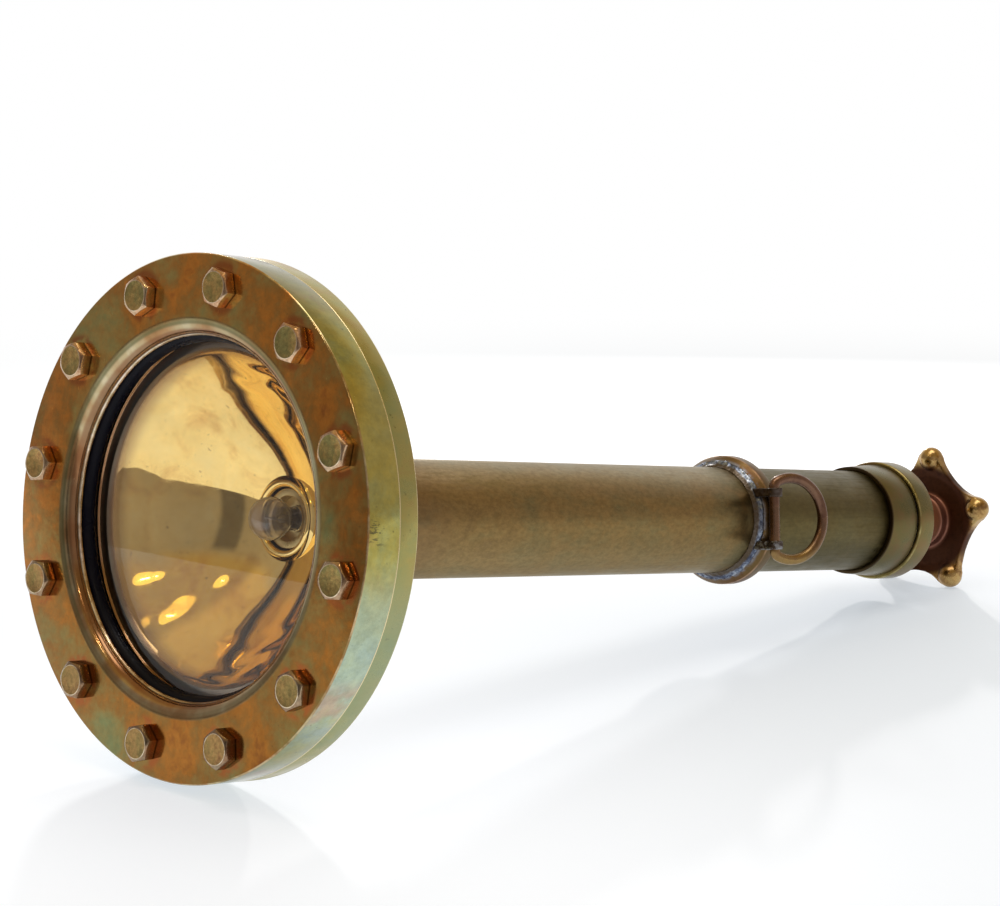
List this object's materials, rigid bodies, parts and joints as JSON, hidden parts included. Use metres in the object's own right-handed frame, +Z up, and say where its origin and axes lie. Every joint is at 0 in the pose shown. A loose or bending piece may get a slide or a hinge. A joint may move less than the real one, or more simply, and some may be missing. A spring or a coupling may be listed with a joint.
{
  "type": "diving torch",
  "caption": "Underwater hand lamp: bolted flanged head with a flat window and reflector, long cylindrical battery tube, D-ring on a soldered band and a star-knob screw switch.",
  "frame": {"origin": "on the ground under the middle of the torch's bounding box, as it lies on the rear edge of its head rim and two knob lobes", "axes": "+Z up, +X horizontal from the head to the knob, +Y to the side away from the D-ring; the torch's own axis falls 8.1 degrees from head to knob"},
  "size_m": [0.4728, 0.18, 0.1812],
  "materials": {
    "ring_brass": "polished, heat tarnished",
    "bolt_brass": "tarnished",
    "flange_brass": "tarnished",
    "tube_brass": "satin, tarnished",
    "band_brass": "satin, tarnished",
    "tail_brass": "satin, tarnished",
    "inner_brass": "plain",
    "reflector_gold": "mirror polish",
    "ring_wire": "dark, worn",
    "knob_bronze": "dark cast, worn bright at the lobes",
    "cap_brass": "plain",
    "solder": "dull, speckled",
    "spring_steel": "plain",
    "filament_wire": "plain",
    "zinc": "dull",
    "rubber": "plain",
    "fibre": "plain",
    "ebonite": "satin",
    "liner_board": "plain",
    "cell_paper": "plain",
    "cell_pitch": "plain",
    "black_glass": "gloss",
    "packing": "greased",
    "window_glass": "clear",
    "bulb_glass": "clear"
  },
  "bodies": {
    "torch": {"front_ring": "ring_brass", "head_bolts": "bolt_brass", "front_gasket": "rubber", "window": "window_glass", "back_gasket": "fibre", "reflector": "reflector_gold", "rear_flange": "flange_brass", "head_cone": "flange_brass", "holder_plate": "inner_brass", "holder_sleeve": "inner_brass", "lamp_socket": "inner_brass", "contact_block": "ebonite", "contact_pin": "inner_brass", "contact_spring": "spring_steel", "bulb_glass": "bulb_glass", "bulb_stem": "bulb_glass", "bulb_filament": "filament_wire", "bulb_cap": "cap_brass", "bulb_insulator": "black_glass", "bulb_tip": "solder", "battery_tube": "tube_brass", "tube_liner": "liner_board", "cell_cans": "zinc", "cell_jackets": "cell_paper", "cell_seals": "cell_pitch", "cell_caps": "cap_brass", "band": "band_brass", "band_solder": "solder", "ring_eyes": "solder", "tail_sleeve": "tail_brass"},
    "ring": {"d_ring": "ring_wire"},
    "seal": {"tail_seal": "rubber"},
    "cap": {"tail_cap": "tail_brass", "gland_packing": "packing", "gland_nut": "inner_brass"},
    "plunger": {"contact_disc": "inner_brass", "tail_spring": "spring_steel"},
    "screw": {"spindle": "inner_brass", "star_knob": "knob_bronze", "knob_washer": "tail_brass", "knob_nut": "tail_brass"}
  },
  "joints": [
    {"name": "ring_swing", "type": "hinge", "parent": "torch", "child": "ring", "pos_m": [0.07044, -0.02939, 0.05507], "axis": [-0.1397, -0.1444, -0.9796], "range_deg": [-25.5, 175.5]},
    {"name": "cap_travel", "type": "slide", "parent": "torch", "child": "seal", "axis": [0.99, 0, -0.1412], "range_m": [0, 0.008]},
    {"name": "cap_turn", "type": "hinge", "parent": "seal", "child": "cap", "pos_m": [0.18764, 0, 0.03402], "axis": [0.99, 0, -0.1412], "range_deg": [-2, 1442]},
    {"name": "plunger_travel", "type": "slide", "parent": "cap", "child": "plunger", "axis": [0.99, 0, -0.1412], "range_m": [-0.0032, 0]},
    {"name": "knob_turn", "type": "hinge", "parent": "plunger", "child": "screw", "pos_m": [0.17774, 0, 0.03543], "axis": [0.99, 0, -0.1412], "range_deg": [-578, 2]}
  ],
  "couplings": [
    {"joint": "cap_turn", "follows": "cap_travel", "rad_per_m": 3141.6},
    {"joint": "knob_turn", "follows": "plunger_travel", "rad_per_m": 3141.6}
  ]
}
